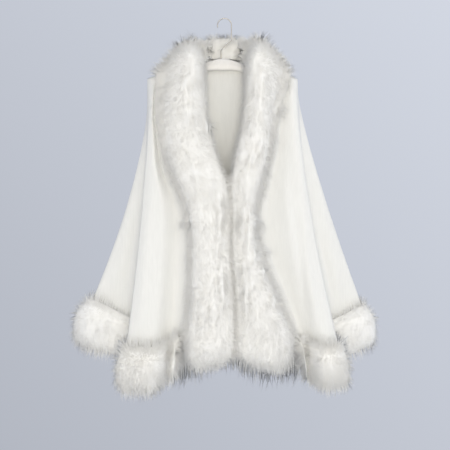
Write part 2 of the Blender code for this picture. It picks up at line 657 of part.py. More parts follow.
def make_hook():
    """The hanger's wire: a stem bent sideways and up, then round the loop."""
    radius = HOOK_RADIUS + WIRE / 2
    stem_x, bend_z = HOOK_STEM
    centre_z = -HOOK_RADIUS
    route = [Vector((stem_x, 0, arm_top(stem_x) + GAP + 0.0002)), Vector((stem_x, 0, bend_z - 0.006)),
             Vector((stem_x + 0.003, 0, bend_z + 0.002)),
             Vector((HOOK_SIDE + radius - 0.003, 0, HOOK_SHOULDER - 0.003)),
             Vector((HOOK_SIDE + radius, 0, HOOK_SHOULDER + 0.005))]
    steps = 12
    for k in range(steps + 1):
        angle = math.radians(180 + HOOK_OPEN) * k / steps
        route.append(Vector((HOOK_SIDE + radius * math.cos(angle), 0, centre_z + radius * math.sin(angle))))
    curve = bpy.data.curves.new("hanger_hook", "CURVE")
    curve.dimensions = "3D"
    curve.bevel_depth = WIRE / 2
    curve.bevel_resolution = 3
    curve.use_fill_caps = True
    spline = curve.splines.new("POLY")
    spline.points.add(len(route) - 1)
    for point, place in zip(spline.points, route):
        point.co = (*(place - Vector((HOOK_SIDE, 0, 0))), 1)
    material = bpy.data.materials.new("hanger_hook")
    material.use_nodes = True
    shader = material.node_tree.nodes["Principled BSDF"]
    shader.inputs["Base Color"].default_value = (*WIRE_COLOUR, 1)
    shader.inputs["Roughness"].default_value = 0.3
    shader.inputs["Metallic"].default_value = 1.0
    curve.materials.append(material)
    hook = bpy.data.objects.new("hanger_hook", curve)
    bpy.context.scene.collection.objects.link(hook)
    return hook


def main():
    for thing in list(bpy.data.objects):
        bpy.data.objects.remove(thing, do_unlink=True)
    cloth = drape_cloth()
    right_seam, left_seam = seam_columns(cloth)
    last = len(cloth.names) - 1
    front, back = -GAP / 2, GAP / 2
    make_panel("front_panel_right", cloth, 0, right_seam, front)
    make_panel("back_panel", cloth, right_seam, left_seam, back)
    make_panel("front_panel_left", cloth, left_seam, last, front)
    trims = [c for c, name in enumerate(cloth.names) if name == "trim start"]
    make_trim("hem_fur_front_right", cloth, trims[0], right_seam, front)
    make_trim("hem_fur_back", cloth, right_seam, left_seam, back)
    make_trim("hem_fur_front_left", cloth, left_seam, trims[1], front)
    make_band(RIGHT, cloth, 1)
    make_band(LEFT, cloth, -1)
    make_collar()
    make_hanger_body()
    make_hook()


main()
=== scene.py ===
# %% [markdown]
# A knit poncho with a long fur trim, on its hanger
#
# The poncho is a creamy white knit cape, open down the front. A strip of long fluffy fur runs round the back
# of the neck, down both front edges and along the hem. It hangs flat on a white hanger, so its folds run down
# from the hanger's two tips.
#
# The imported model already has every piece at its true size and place, as plain solids. This lesson dresses
# them: the knit gets smooth folds, soft creases and a stitch texture, and each fur solid gives way to a fur
# body with thousands of real strands. Everything is in metres, with z up and the garment's front towards -y.
# The origin is the inner top of the hanger's hook.

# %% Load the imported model
import math
from collections import namedtuple

import bmesh
import bpy
import numpy as np
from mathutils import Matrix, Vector


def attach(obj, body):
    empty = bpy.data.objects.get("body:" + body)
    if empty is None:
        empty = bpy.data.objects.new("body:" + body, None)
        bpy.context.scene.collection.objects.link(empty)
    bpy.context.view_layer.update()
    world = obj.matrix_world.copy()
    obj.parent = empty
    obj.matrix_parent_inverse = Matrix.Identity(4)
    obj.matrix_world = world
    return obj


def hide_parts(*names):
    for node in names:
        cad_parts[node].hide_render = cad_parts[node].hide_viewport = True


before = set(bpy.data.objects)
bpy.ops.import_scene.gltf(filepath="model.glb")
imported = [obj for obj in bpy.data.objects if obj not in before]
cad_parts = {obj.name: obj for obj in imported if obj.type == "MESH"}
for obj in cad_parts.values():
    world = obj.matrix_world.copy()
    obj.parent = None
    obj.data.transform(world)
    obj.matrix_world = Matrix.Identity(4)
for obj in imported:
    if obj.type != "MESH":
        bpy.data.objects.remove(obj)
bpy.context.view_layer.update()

scene = bpy.context.scene

# %% [markdown]
# Writing node trees as expressions
#
# Materials and Geometry Nodes are both trees of nodes, and a long chain of Math nodes is hard to read as
# code. So one small class stands for an output socket. Adding or multiplying two of them adds the Math node,
# and its node() method adds any other kind: settings first, because some settings change which sockets there
# are, and then the values or links of its inputs. The few kinds that are used again and again here have short
# methods of their own.

# %% A socket that can be used in arithmetic
class Wire:
    """An output socket of a node tree. Arithmetic on it adds Math nodes."""

    def __init__(self, tree, socket=None):
        self.tree = tree
        self.socket = socket

    def node(self, kind, settings=None, inputs=None, output=0):
        """Add a node to the same tree and give back one of its outputs."""
        node = self.tree.nodes.new(kind)
        for name, value in (settings or {}).items():
            if name == "stops":
                ramp = node.color_ramp
                for place, colour in value[2:]:
                    ramp.elements.new(place)
                for element, (place, colour) in zip(ramp.elements, sorted(value)):
                    element.position = place
                    element.color = colour
            else:
                setattr(node, name, value)
        for name, value in (inputs or {}).items():
            self.feed(node.inputs[name], value)
        return Wire(self.tree, node.outputs[output])

    def feed(self, socket, value):
        """Link a wire to an input socket, or set a plain value on it."""
        if isinstance(value, Wire):
            self.tree.links.new(value.socket, socket)
        else:
            socket.default_value = value

    def out(self, name):
        """Another output of the same node."""
        return Wire(self.tree, self.socket.node.outputs[name])

    def maths(self, operation, first, second=0.0):
        return self.node("ShaderNodeMath", {"operation": operation}, {0: first, 1: second})

    def at_least(self, other):
        return self.maths("MAXIMUM", self, other)

    def at_most(self, other):
        return self.maths("MINIMUM", self, other)

    def mapped(self, low, high, first, last, kind="LINEAR"):
        """Turn the range from low to high into that from first to last, and hold it there beyond its ends."""
        ends = {"Value": self, "From Min": low, "From Max": high, "To Min": first, "To Max": last}
        return self.node("ShaderNodeMapRange", {"interpolation_type": kind}, ends)

    def vector(self, operation, first, second=None):
        """A Vector Math node: a dot product comes out as a number."""
        inputs = {0: first} if second is None else {0: first, 3 if operation == "SCALE" else 1: second}
        output = "Value" if operation == "DOT_PRODUCT" else "Vector"
        return self.node("ShaderNodeVectorMath", {"operation": operation}, inputs, output)

    def axis(self, name):
        """One part of a vector, X, Y or Z, as a number."""
        return self.node("ShaderNodeSeparateXYZ", None, {"Vector": self}, name)

    def noise(self, scale, detail=1.0, output=0):
        """A soft random pattern over this place, with so many patches for each metre."""
        inputs = {"Vector": self, "Scale": scale, "Detail": detail}
        return self.node("ShaderNodeTexNoise", None, inputs, output)

    def __add__(self, other):
        return self.maths("ADD", self, other)

    def __sub__(self, other):
        return self.maths("SUBTRACT", self, other)

    def __rsub__(self, other):
        return self.maths("SUBTRACT", other, self)

    def __mul__(self, other):
        return self.maths("MULTIPLY", self, other)

    def __gt__(self, other):
        return self.maths("GREATER_THAN", self, other)

    __radd__ = __add__
    __rmul__ = __mul__


print("wires can be added, subtracted, multiplied and compared")

# %% [markdown]
# The cloth's solids as clean surfaces
#
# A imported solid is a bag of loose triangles. Its corners are merged and its triangles paired into quads, so
# that Subdivision Surface can round it. That modifier pulls a surface inwards from its cage, which would open
# the seams and sink the cloth into the hanger. The cage is therefore first pushed out by as much as it would
# shrink, a few times over. Rims are creased so that the wall keeps its cut edges.

# %% Merge a solid's loose triangles
MERGE = 2e-5                 # corners this close are one


def merged_copy(node, name):
    """A new object from a solid's mesh, with its loose triangles joined into quads."""
    bm = bmesh.new()
    bm.from_mesh(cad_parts[node].data)
    bmesh.ops.remove_doubles(bm, verts=bm.verts, dist=MERGE)
    bmesh.ops.join_triangles(bm, faces=bm.faces, angle_face_threshold=math.pi, angle_shape_threshold=math.pi)
    mesh = bpy.data.meshes.new(name)
    bm.to_mesh(mesh)
    bm.free()
    if "custom_normal" in mesh.attributes:
        mesh.attributes.remove(mesh.attributes["custom_normal"])
    mesh.materials.clear()
    piece = bpy.data.objects.new(name, mesh)
    scene.collection.objects.link(piece)
    return piece


print("corners closer than", MERGE, "m become one")

# %% Round a piece through its own points
RIM_ANGLE = 60               # an edge this sharp, in degrees, is a cut rim
FIT_ROUNDS = 3               # how often the cage is pushed out


def points_of(mesh):
    """The mesh's points as an array."""
    flat = np.empty(len(mesh.vertices) * 3)
    mesh.vertices.foreach_get("co", flat)
    return flat.reshape(-1, 3)


def place_points(mesh, points):
    mesh.vertices.foreach_set("co", points.ravel())
    mesh.update()


def applied(piece):
    """Turn what the piece's modifiers make into its plain mesh."""
    seen = piece.evaluated_get(bpy.context.evaluated_depsgraph_get())
    mesh = bpy.data.meshes.new_from_object(seen)
    piece.modifiers.clear()
    piece.data = mesh
    return mesh


def crease_rims(mesh):
    """Mark the cut rims of a wall so that subdivision keeps them."""
    bm = bmesh.new()
    bm.from_mesh(mesh)
    layer = bm.edges.layers.float.new("crease_edge")
    for edge in bm.edges:
        if edge.calc_face_angle(math.pi) > math.radians(RIM_ANGLE):
            edge[layer] = 1.0
    bm.to_mesh(mesh)
    bm.free()


def rounded(piece, levels, rims):
    """Subdivide a piece so that its smooth surface passes through the solid's own points."""
    mesh = piece.data
    if rims:
        crease_rims(mesh)
    modifier = piece.modifiers.new("round", "SUBSURF")
    modifier.levels = modifier.render_levels = 1
    modifier.use_limit_surface = True
    solid = points_of(mesh)
    cage = solid.copy()
    for _ in range(FIT_ROUNDS):
        seen = piece.evaluated_get(bpy.context.evaluated_depsgraph_get())
        cage += solid - points_of(seen.data)[:len(solid)]
        place_points(mesh, cage)
        bpy.context.view_layer.update()
    modifier.levels = modifier.render_levels = levels
    mesh = applied(piece)
    mesh.shade_smooth()
    return mesh


print("a cage is fitted in", FIT_ROUNDS, "rounds")

# %% [markdown]
# The knit's creases
#
# The solids hold the big folds. Between them the knit of a hanging cape has softer creases: shallow troughs
# and ridges, each of its own length, width and depth, that run down from the shoulder or up from the heavy
# fur hem. A cloth simulation would make creases of its own, but not these, so they are listed. Each
# is one row of a table: where it starts and ends, how wide it is and how far it moves the cloth. A piece's
# wall is moved as one, both faces together, so it keeps its thickness.

# %% Creases, listed one by one
Crease = namedtuple("Crease", "panel top foot width depth")     # x and z; a depth below 0 comes forwards
CREASES = (
    Crease("front_panel_right", (-0.205, -0.200), (-0.224, -0.560), 0.014, 0.0030),
    Crease("front_panel_right", (-0.196, -0.420), (-0.238, -0.900), 0.013, -0.0035),
    Crease("front_panel_right", (-0.180, -0.560), (-0.196, -0.910), 0.010, 0.0030),
    Crease("front_panel_left", (0.176, -0.190), (0.190, -0.520), 0.016, 0.0030),
    Crease("front_panel_left", (0.150, -0.400), (0.206, -0.760), 0.014, -0.0030),
    Crease("front_panel_left", (0.196, -0.300), (0.252, -0.860), 0.016, -0.0045),
    Crease("front_panel_left", (0.186, -0.480), (0.232, -0.880), 0.012, 0.0050),
    Crease("front_panel_left", (0.222, -0.560), (0.276, -0.900), 0.011, 0.0035),
    Crease("back_panel", (-0.222, -0.300), (-0.312, -0.790), 0.018, -0.0035),
    Crease("back_panel", (-0.240, -0.520), (-0.286, -0.800), 0.012, 0.0040),
    Crease("back_panel", (0.250, -0.420), (0.336, -0.800), 0.016, -0.0040),
    Crease("back_panel", (0.262, -0.600), (0.310, -0.810), 0.012, 0.0035),
    Crease("back_panel", (-0.130, -0.190), (-0.196, -0.700), 0.020, -0.0045),
    Crease("back_panel", (-0.070, -0.240), (-0.110, -0.560), 0.016, 0.0040),
    Crease("back_panel", (-0.020, -0.360), (-0.034, -0.800), 0.018, -0.0050),
    Crease("back_panel", (0.050, -0.200), (0.034, -0.520), 0.015, 0.0035),
    Crease("back_panel", (0.100, -0.300), (0.140, -0.790), 0.018, -0.0045),
    Crease("back_panel", (0.150, -0.200), (0.206, -0.600), 0.016, 0.0040),
)
FADE_IN = 0.35               # share of a crease's length over which it deepens from its top
FADE_OUT = 0.2               # and over which it ends at its foot


def soft_step(share):
    share = np.clip(share, 0.0, 1.0)
    return share * share * (3 - 2 * share)


def press_crease(points, crease):
    """Move the points near a crease's line by its depth, fading out across it and at both of its ends."""
    top, foot = np.array(crease.top), np.array(crease.foot)
    line = foot - top
    across = points[:, (0, 2)] - top
    share = across @ line / (line @ line)
    off = np.abs(across[:, 0] * line[1] - across[:, 1] * line[0]) / np.linalg.norm(line)
    ends = soft_step(share / FADE_IN) * soft_step((1 - share) / FADE_OUT)
    points[:, 1] += crease.depth * ends * np.exp(-(off / crease.width) ** 2)


print("the knit has", len(CREASES), "creases placed by hand")

# %% [markdown]
# The three knit panels
#
# The back and the two fronts are thin walls. They could be woven from new sheets, but the solids already hang
# as they should and fit their neighbours. So each solid is rounded, creased, and kept as its own piece, as a
# sewer would cut it.

# %% Make the knit panels
PANEL_LEVELS = 2
panels = {}
for node in ("back_panel", "front_panel_right", "front_panel_left"):
    panel = merged_copy(node, f"knit_{node}")
    mesh = rounded(panel, PANEL_LEVELS, rims=True)
    points = points_of(mesh)
    for crease in CREASES:
        if crease.panel == node:
            press_crease(points, crease)
    place_points(mesh, points)
    panels[node] = panel
    print(panel.name, "has", len(mesh.polygons), "faces")

# %% [markdown]
# The fur: a body and its strands
#
# Long fur is two things to the eye: a soft dense body, and the loose tips that stand out from it. The solid
# in the model reaches as far as the tips. So the body is the solid drawn inwards, and strands grow from it
# out to the solid's surface and a little past it. Blender's own hair would do for a picture, but this model
# has to be plain mesh, so each strand is a slim cone. One Geometry Nodes tree makes every fur piece, with
# named inputs for what differs between them.
#
# The tree is long, so the next cells build it in steps, with a function for each. What a step hands on is
# mostly a field, which Blender works out wherever it is used: on the solid, at a root or along a strand.

# %% The inputs of the fur tree
FurInput = namedtuple("FurInput", "name kind shared")           # None is what each piece sets for itself
FUR_INPUTS = (
    FurInput("Cloth", "Object", None),          # the knit, which strands may touch but not pierce
    FurInput("Beside", "Object", None),         # all other fur pieces
    FurInput("Depth", "Float", None),           # by which the body is drawn inwards
    FurInput("Density", "Float", None),         # strands for each square metre
    FurInput("Longest", "Float", 0.042),        # length that no strand passes, but for the fringe
    FurInput("Tips", "Float", None),            # length of the loose tips
    FurInput("Droop", "Float", None),           # how much weight bends the pile down
    FurInput("Lift", "Float", None),            # how much the pile beside the knit is combed up over it
    FurInput("Fringe", "Float", None),          # how much longer the strands of the fringe are
    FurInput("Swirl", "Float", 0.5),            # how much the pile parts and turns
    FurInput("Cling", "Float", 0.45),           # how much strands lean towards the middle of their lock
    FurInput("Lock", "Float", 0.010),           # size of one lock
    FurInput("Mingle", "Float", 3.0),           # how much strands lean towards other fur close by
    FurInput("Fill", "Float", None),            # share of strands added where they mingle
    FurInput("Softness", "Float", 2.8),         # how much strands are lit as the surface below them is
    FurInput("Seed", "Int", None),
    FurInput("Fur", "Material", None),
)
print("the fur tree has", len(FUR_INPUTS), "inputs")

# %% [markdown]
# What lies around a place
#
# Fur that lies against the knit or against other fur is pressed together. Beside the knit its pile is combed
# up over the seam, where two fur pieces meet their piles mingle, and the back's hem has a longer fringe on
# both sides of its middle. All of that follows from two distances, which Geometry Proximity measures, and
# from how far sideways a place is.

# %% Measure how near the cloth and other fur are
FREE = 0.024                 # further than this from both, the pile stands free
BESIDE = 0.036               # closer than this to the knit, the pile is combed upwards
NEAR = 0.030                 # closer than this to other fur, the pile mingles with it
Fringe = namedtuple("Fringe", "least inside full full_to outside")
FRINGE = Fringe(0.2, 0.02, 0.12, 0.22, 0.27)    # least share, then how far out it starts, is full and ends
Around = namedtuple("Around", "place cloth_at fur_at to_fur free combed meeting fringe")


def surroundings(start, given):
    """How near other things are to a place, and how much each treatment of the pile applies to it."""
    place = start.node("GeometryNodeInputPosition")
    nearest = []
    for thing in ("Cloth", "Beside"):
        shape = start.node("GeometryNodeObjectInfo", None, {"Object": given.out(thing)}, "Geometry")
        nearest.append(start.node("GeometryNodeProximity", {"target_element": "FACES"},
                                  {"Geometry": shape, "Sample Position": place}))
    to_cloth, to_fur = [point.out("Distance") for point in nearest]
    sideways = start.maths("ABSOLUTE", place.axis("X"))
    inner = sideways.mapped(FRINGE.inside, FRINGE.full, FRINGE.least, 1.0)
    outer = sideways.mapped(FRINGE.full_to, FRINGE.outside, 1.0, 0.0)
    return Around(
        place=place,
        cloth_at=nearest[0].out("Position"),
        fur_at=nearest[1].out("Position"),
        to_fur=to_fur,
        free=to_cloth.at_most(to_fur).mapped(0.0, FREE, 0.0, 1.0, "SMOOTHSTEP"),
        combed=to_cloth.mapped(0.0, BESIDE, given.out("Lift"), 0.0),
        meeting=to_fur.mapped(0.0, NEAR, 1.0, 0.0),
        fringe=inner * outer * given.out("Fringe"),
    )


print("pile stands free", FREE * 1000, "mm from cloth and other fur")

# %% [markdown]
# The body and the roots
#
# The body is the solid, rounded and drawn inwards. It isn't drawn inwards where the fur is pressed together,
# so no gap shows along a seam. It is never drawn in by more than a share of its own thickness, which a ray
# through it measures. Distribute Points on Faces then scatters the roots, with more of them where the pile is
# combed, mingles or hangs in the fringe.

# %% Draw the body in and scatter the roots
SKIN = 0.001                 # the ray for the thickness starts this far inside the solid
THICKEST = 0.1               # and is this long
THINNEST = 0.25              # share of the thickness by which the body may be drawn inwards
THICKER = 0.2                # share of strands added for each 1 of Lift, to hide the seam
FULLER = 90.0                # share of strands added for each metre of fringe


def body_and_roots(start, given, around):
    """The fur's body, and the points on it from which strands grow."""
    solid = given.out("Geometry")
    inwards = start.vector("SCALE", start.node("GeometryNodeInputNormal"), -1.0)
    under_skin = start.vector("ADD", around.place, start.vector("SCALE", inwards, SKIN))
    thickness = start.node("GeometryNodeRaycast", None,
                           {"Target Geometry": solid, "Source Position": under_skin,
                            "Ray Direction": inwards, "Ray Length": THICKEST}, "Hit Distance")
    depth = (around.free * given.out("Depth")).at_most(thickness * THINNEST)
    smooth = start.node("GeometryNodeSubdivisionSurface", None, {"Mesh": solid, "Level": 1})
    body = start.node("GeometryNodeSetPosition", None,
                      {"Geometry": smooth, "Offset": start.vector("SCALE", inwards, depth)})
    hanging = inwards.axis("Z").at_least(0.0) * around.fringe
    more = 1 + around.combed * THICKER + around.meeting * given.out("Fill") + hanging * FULLER
    roots = start.node("GeometryNodeDistributePointsOnFaces", {"distribute_method": "RANDOM"},
                       {"Mesh": body, "Density": given.out("Density") * more, "Seed": given.out("Seed")})
    return body, roots


print("a thin place keeps at least", 1 - 2 * THINNEST, "of its thickness")

# %% [markdown]
# Which way a strand grows
#
# A strand grows along the surface's normal, pulled aside by several things: weight, which makes the pile
# droop, less so on top of a piece and most in the fringe; the comb; a slow noise, which lets the pile part
# and swirl; a whim of its own; the middle of its lock, because fur clings together at the tips; and fur close
# by, because fur that meets fur mingles. The pulls are added up, and the sum is its direction.

# %% Add up the pulls on a strand
SWIRL_SCALE = 22.0           # turns of the slow noise for each metre
WHIM = 0.3                   # most that a strand turns by itself, along each axis
STAND_UP = 1.6               # pile that faces up loses this share of its droop, so it stands
PLUMB = 60.0                 # pull downwards for each metre of fringe
BEHIND = 0.4                 # how far back fur may lie and still draw a strand, as a cosine
LENGTH_SEED, KIND_SEED, WHIM_SEED = 1, 2, 3


def growth_way(start, given, around, normal):
    """The direction in which a strand grows."""
    rise = normal.axis("Z")
    droop = given.out("Droop") * (1 - rise.at_least(0.0) * STAND_UP)
    hanging = (rise * -1.0).at_least(0.0) * around.fringe
    swirl = start.vector("SUBTRACT", around.place.noise(SWIRL_SCALE, output="Color"), (0.5, 0.5, 0.5))
    whim = start.node("FunctionNodeRandomValue", {"data_type": "FLOAT_VECTOR"},
                      {0: (-WHIM,) * 3, 1: (WHIM,) * 3, "Seed": WHIM_SEED})
    lock = given.out("Lock")
    cell = start.node("ShaderNodeTexVoronoi", None,
                      {"Vector": around.place, "Scale": start.maths("DIVIDE", 1.0, lock), "Randomness": 1.0})
    to_lock = start.vector("SUBTRACT", cell.out("Position"), around.place)
    to_other = start.vector("NORMALIZE", start.vector("SUBTRACT", around.fur_at, around.place))
    beside = (start.vector("DOT_PRODUCT", to_other, normal) + BEHIND).at_most(1.0).at_least(0.0)
    pulls = (
        start.vector("SCALE", (0.0, 0.0, 1.0), around.combed - droop - hanging * PLUMB),
        start.vector("SCALE", swirl, given.out("Swirl")),
        whim,
        start.vector("SCALE", to_lock, start.maths("DIVIDE", given.out("Cling"), lock)),
        start.vector("SCALE", to_other, around.meeting * given.out("Mingle") * beside),
    )
    growth = normal
    for pull in pulls:
        growth = start.vector("ADD", growth, pull)
    return start.vector("NORMALIZE", growth)


print("a strand's whim is at most", WHIM)

# %% [markdown]
# How long a strand is
#
# A ray in the direction of growth finds the solid's surface, and the tip ends past it. How far past is partly
# chance and partly a slow noise that makes tufts, with more on top of a piece and below it. Pressed pile ends
# a little way over its neighbour, and the fringe is longer. A second ray finds the cloth: a strand stops just
# short of it, and one with hardly any room is left out.

# %% Measure a strand's room
Loose = namedtuple("Loose", "chance tufts least upward most")
LOOSE = Loose(1.1, 1.8, 0.05, 0.9, 1.1)         # all as shares of the length of the tips
TUFT_SCALE = 34.0            # tufts for each metre
SLANTED = 2.5                # a strand's way out of the solid is at most so many times the body's depth
CROSSING = 0.016             # how far pressed pile ends over its neighbour
OVER_FUR = 0.5               # share of that added where the neighbour is fur
RAGGED = 0.5                 # the fringe has strands from this share of its length to one share more
SHORTEST = 0.002             # least room that the pile gives a strand
SHORT_OF = 0.95              # a strand that points at the cloth takes this share of the way
FINEST = 0.25                # a strand cut to less than this share of its length is left out
PRESSED = 0.001              # closer than this to other fur, nothing grows


def random_share(start, seed):
    """A random number from 0 to 1 for each strand."""
    return start.node("FunctionNodeRandomValue", {"data_type": "FLOAT"}, {2: 0.0, 3: 1.0, "Seed": seed}, 1)


def strand_room(start, given, around, normal, way):
    """The length that a strand has room for, and whether it grows at all."""
    rise = normal.axis("Z")
    downward = (rise * -1.0).at_least(0.0)
    shell = start.node("GeometryNodeRaycast", None,
                       {"Target Geometry": given.out("Geometry"), "Source Position": around.place,
                        "Ray Direction": way, "Ray Length": given.out("Longest")}, "Hit Distance")
    shell = shell.at_most(given.out("Depth") * SLANTED)
    chance = random_share(start, LENGTH_SEED)
    tufts = (around.place.noise(TUFT_SCALE) - 0.5) * LOOSE.tufts
    loose = chance * chance * LOOSE.chance + tufts + LOOSE.least + rise.at_least(0.0) * LOOSE.upward
    loose = loose.at_most(LOOSE.most) + downward
    crossing = (1 - around.free + around.meeting * OVER_FUR) * CROSSING
    full = (shell + crossing + loose * given.out("Tips")).at_most(given.out("Longest"))
    full = (full + downward * around.fringe * (RAGGED + chance)).at_least(SHORTEST)
    cloth = start.node("GeometryNodeObjectInfo", None, {"Object": given.out("Cloth")}, "Geometry")
    hit = start.node("GeometryNodeRaycast", None,
                     {"Target Geometry": cloth, "Source Position": around.place, "Ray Direction": way,
                      "Ray Length": full}, "Is Hit")
    room = full.at_most(hit.out("Hit Distance") * SHORT_OF + (1 - hit))     # a miss leaves a metre of room
    grows = (room > full * FINEST) * (around.to_fur > PRESSED)
    return room, grows


print("a strand has room for", SHORTEST * 1000, "mm or more where no cloth stops it")

# %% [markdown]
# The strands themselves
#
# Real fur has two kinds of hair. Long guard hairs bend over at the tip, and short straight ones fill the pile
# between them. Each is a slim cone of three sides, one metre long or a little less, which Instance on Points
# turns to its direction and shrinks to its room.

# %% Shape the strands and plant them
Strand = namedtuple("Strand", "radius bend segments length")    # as shares of the room that it has
GUARD = Strand(0.016, 0.26, 2, 1.0)
UNDER = Strand(0.022, 0.0, 1, 0.85)
UNDER_SHARE = 0.60           # of all the strands
STRAND_SIDES = 3


def strand_shapes(start):
    """Both kinds of strand. Join Geometry counts what was linked last as 0, so that is the under hair."""
    shapes = start.node("GeometryNodeJoinGeometry")
    for strand in (GUARD, UNDER):
        cone = start.node("GeometryNodeMeshCone", {"fill_type": "NONE"},
                          {"Vertices": STRAND_SIDES, "Side Segments": strand.segments, "Radius Top": 0.0,
                           "Radius Bottom": strand.radius, "Depth": strand.length})
        up = start.node("GeometryNodeInputPosition").axis("Z")
        bend = start.node("ShaderNodeCombineXYZ", None, {"X": up * up * strand.bend})
        hair = start.node("GeometryNodeSetPosition", None, {"Geometry": cone, "Offset": bend})
        hair = start.node("GeometryNodeGeometryToInstance", None, {"Geometry": hair})
        shapes.feed(shapes.socket.node.inputs[0], hair)
    return shapes


def planted(start, roots, way, room, grows):
    """A strand on each root, turned to its way, with its bend towards the ground."""
    turn = start.node("FunctionNodeAlignRotationToVector", {"axis": "Z"}, {"Vector": way})
    turn = start.node("FunctionNodeAlignRotationToVector", {"axis": "X", "pivot_axis": "Z"},
                      {"Rotation": turn, "Vector": (0.0, 0.0, -1.0)})
    size = start.node("ShaderNodeCombineXYZ", None, {"X": room, "Y": room, "Z": room})
    pile = start.node("GeometryNodeInstanceOnPoints", None,
                      {"Points": roots, "Selection": grows, "Instance": strand_shapes(start),
                       "Pick Instance": True, "Instance Index": random_share(start, KIND_SEED) > UNDER_SHARE,
                       "Rotation": turn, "Scale": size})
    return start.node("GeometryNodeRealizeInstances", None, {"Geometry": pile})


print("under hairs are", UNDER_SHARE, "of all strands")

# %% [markdown]
# Light on the pile
#
# Fur scatters light so much that single hairs hardly show. The strands therefore take most of their shading
# normal from the surface that they grow on, so that the pile is lit as one soft shape. That normal is turned
# towards the front or the back, away from the cloth where fur lies against it, and outwards where two fur
# pieces meet, because light finds its way into real pile there.

# %% Soften the shading normals
LIT_FROM = (0.7, 1.5, 0.35)  # the surface's normal is stretched by this much along x, y and z
OFF_CLOTH = 2.0              # share of the way off the cloth that is added to it
OUTWARDS = 1.5               # share of the way to the front or back that is added where fur meets fur


def soft_normal(start, given, around, normal):
    """The normal by which body and strands are lit."""
    off_cloth = start.vector("SUBTRACT", around.place, around.cloth_at)
    off_cloth = start.vector("NORMALIZE", start.vector("MULTIPLY", off_cloth, (1.0, 1.0, 0.0)))
    side = start.maths("SIGN", normal.axis("Y"))
    pushes = (
        start.vector("SCALE", off_cloth, (1 - around.free) * OFF_CLOTH),
        start.node("ShaderNodeCombineXYZ", None, {"Y": side * around.meeting * OUTWARDS}),
    )
    facing = start.vector("MULTIPLY", normal, LIT_FROM)
    for push in pushes:
        facing = start.vector("ADD", facing, push)
    facing = start.vector("SCALE", start.vector("NORMALIZE", facing), given.out("Softness"))
    own = start.node("GeometryNodeInputNormal")
    return start.vector("NORMALIZE", start.vector("ADD", own, facing))


print("the pile's normals are stretched by", LIT_FROM)

# %% [markdown]
# The whole tree
#
# Now the steps come together. The body and its pile are joined, shaded by the soft normals and given the
# fur's material. What comes out is plain mesh, which can be counted.

# %% Put the fur tree together
def fur_tree():
    """Geometry Nodes: shrink a solid to a fur body and grow strands on it."""
    tree = bpy.data.node_groups.new("grow_fur", "GeometryNodeTree")
    tree.interface.new_socket("Geometry", in_out="INPUT", socket_type="NodeSocketGeometry")
    for entry in FUR_INPUTS:
        tree.interface.new_socket(entry.name, in_out="INPUT", socket_type=f"NodeSocket{entry.kind}")
    tree.interface.new_socket("Geometry", in_out="OUTPUT", socket_type="NodeSocketGeometry")
    start = Wire(tree)
    given = start.node("NodeGroupInput")
    around = surroundings(start, given)
    body, roots = body_and_roots(start, given, around)
    normal = roots.out("Normal")
    way = growth_way(start, given, around, normal)
    room, grows = strand_room(start, given, around, normal, way)
    pile = planted(start, roots, way, room, grows)
    both = start.node("GeometryNodeJoinGeometry")
    for part in (body, pile):
        both.feed(both.socket.node.inputs[0], part)
    smooth = start.node("GeometryNodeSetShadeSmooth", None, {"Geometry": both})
    lit = start.node("GeometryNodeSetMeshNormal", {"mode": "FREE", "domain": "POINT"},
                     {"Mesh": smooth, "Custom Normal": soft_normal(start, given, around, normal)})
    done = start.node("GeometryNodeSetMaterial", None, {"Geometry": lit, "Material": given.out("Fur")})
    end = tree.nodes.new("NodeGroupOutput")
    tree.links.new(done.socket, end.inputs[0])
    return tree


def set_inputs(modifier, values):
    """Set a Geometry Nodes modifier's inputs, which it knows by identifier and not by name."""
    for item in modifier.node_group.interface.items_tree:
        if item.in_out == "INPUT" and item.name in values:
            modifier[item.identifier] = values[item.name]


grow_fur = fur_tree()
print("the fur tree has", len(grow_fur.nodes), "nodes")

# %% [markdown]
# The fur's finish
#
# White fur is bright and matt with a soft sheen where light grazes it. Blender's hair shader is made for
# curves, so these strands have the common Principled shader with some sheen. The colour is a warm white that
# varies a little from lock to lock.

# %% The fur's material
def new_material(name):
    """A material and its Principled shader."""
    material = bpy.data.materials.new(name)
    material.use_nodes = True
    return material, material.node_tree.nodes["Principled BSDF"]


def place_on(material):
    """The place on a material's piece, measured from the piece's own origin."""
    return Wire(material.node_tree).node("ShaderNodeTexCoord", None, None, "Object")


def set_shader(shader, values):
    for name, value in values.items():
        shader.inputs[name].default_value = value


def blend(pattern, low, high, colours):
    """A colour that turns from one into the other as the pattern's value goes from low to high."""
    stops = ((low, colours[0]), (high, colours[1]))
    return pattern.node("ShaderNodeValToRGB", {"stops": stops}, {"Fac": pattern})


FUR_WHITES = ((0.965, 0.96, 0.94, 1), (0.99, 0.985, 0.97, 1))
FUR_PATCHES = 60.0           # tint patches for each metre
fur_finish, shader = new_material("white_fur")
place = place_on(fur_finish)
place.feed(shader.inputs["Base Color"], blend(place.noise(FUR_PATCHES, 2.0), 0.35, 0.65, FUR_WHITES))
set_shader(shader, {"Roughness": 0.85, "Sheen Weight": 0.25, "Sheen Roughness": 0.5,
                    "Specular IOR Level": 0.2})
print(fur_finish.name, "has tint patches of", round(1000 / FUR_PATCHES), "mm")

# %% [markdown]
# The knit's finish
#
# The cloth is a fine plain knit: columns of small stitches, each with two legs that slant away from the
# column's middle. A sine wave along the height, shifted by the distance from the column's edge, draws the
# legs. Streaks drawn out along the columns stand for uneven yarn, and a wide soft noise for the give of the
# cloth. All three feed a bump, because stitches made as mesh would take millions of faces and are smaller
# than a pixel of the picture. The streaks also tint the yarn a little.

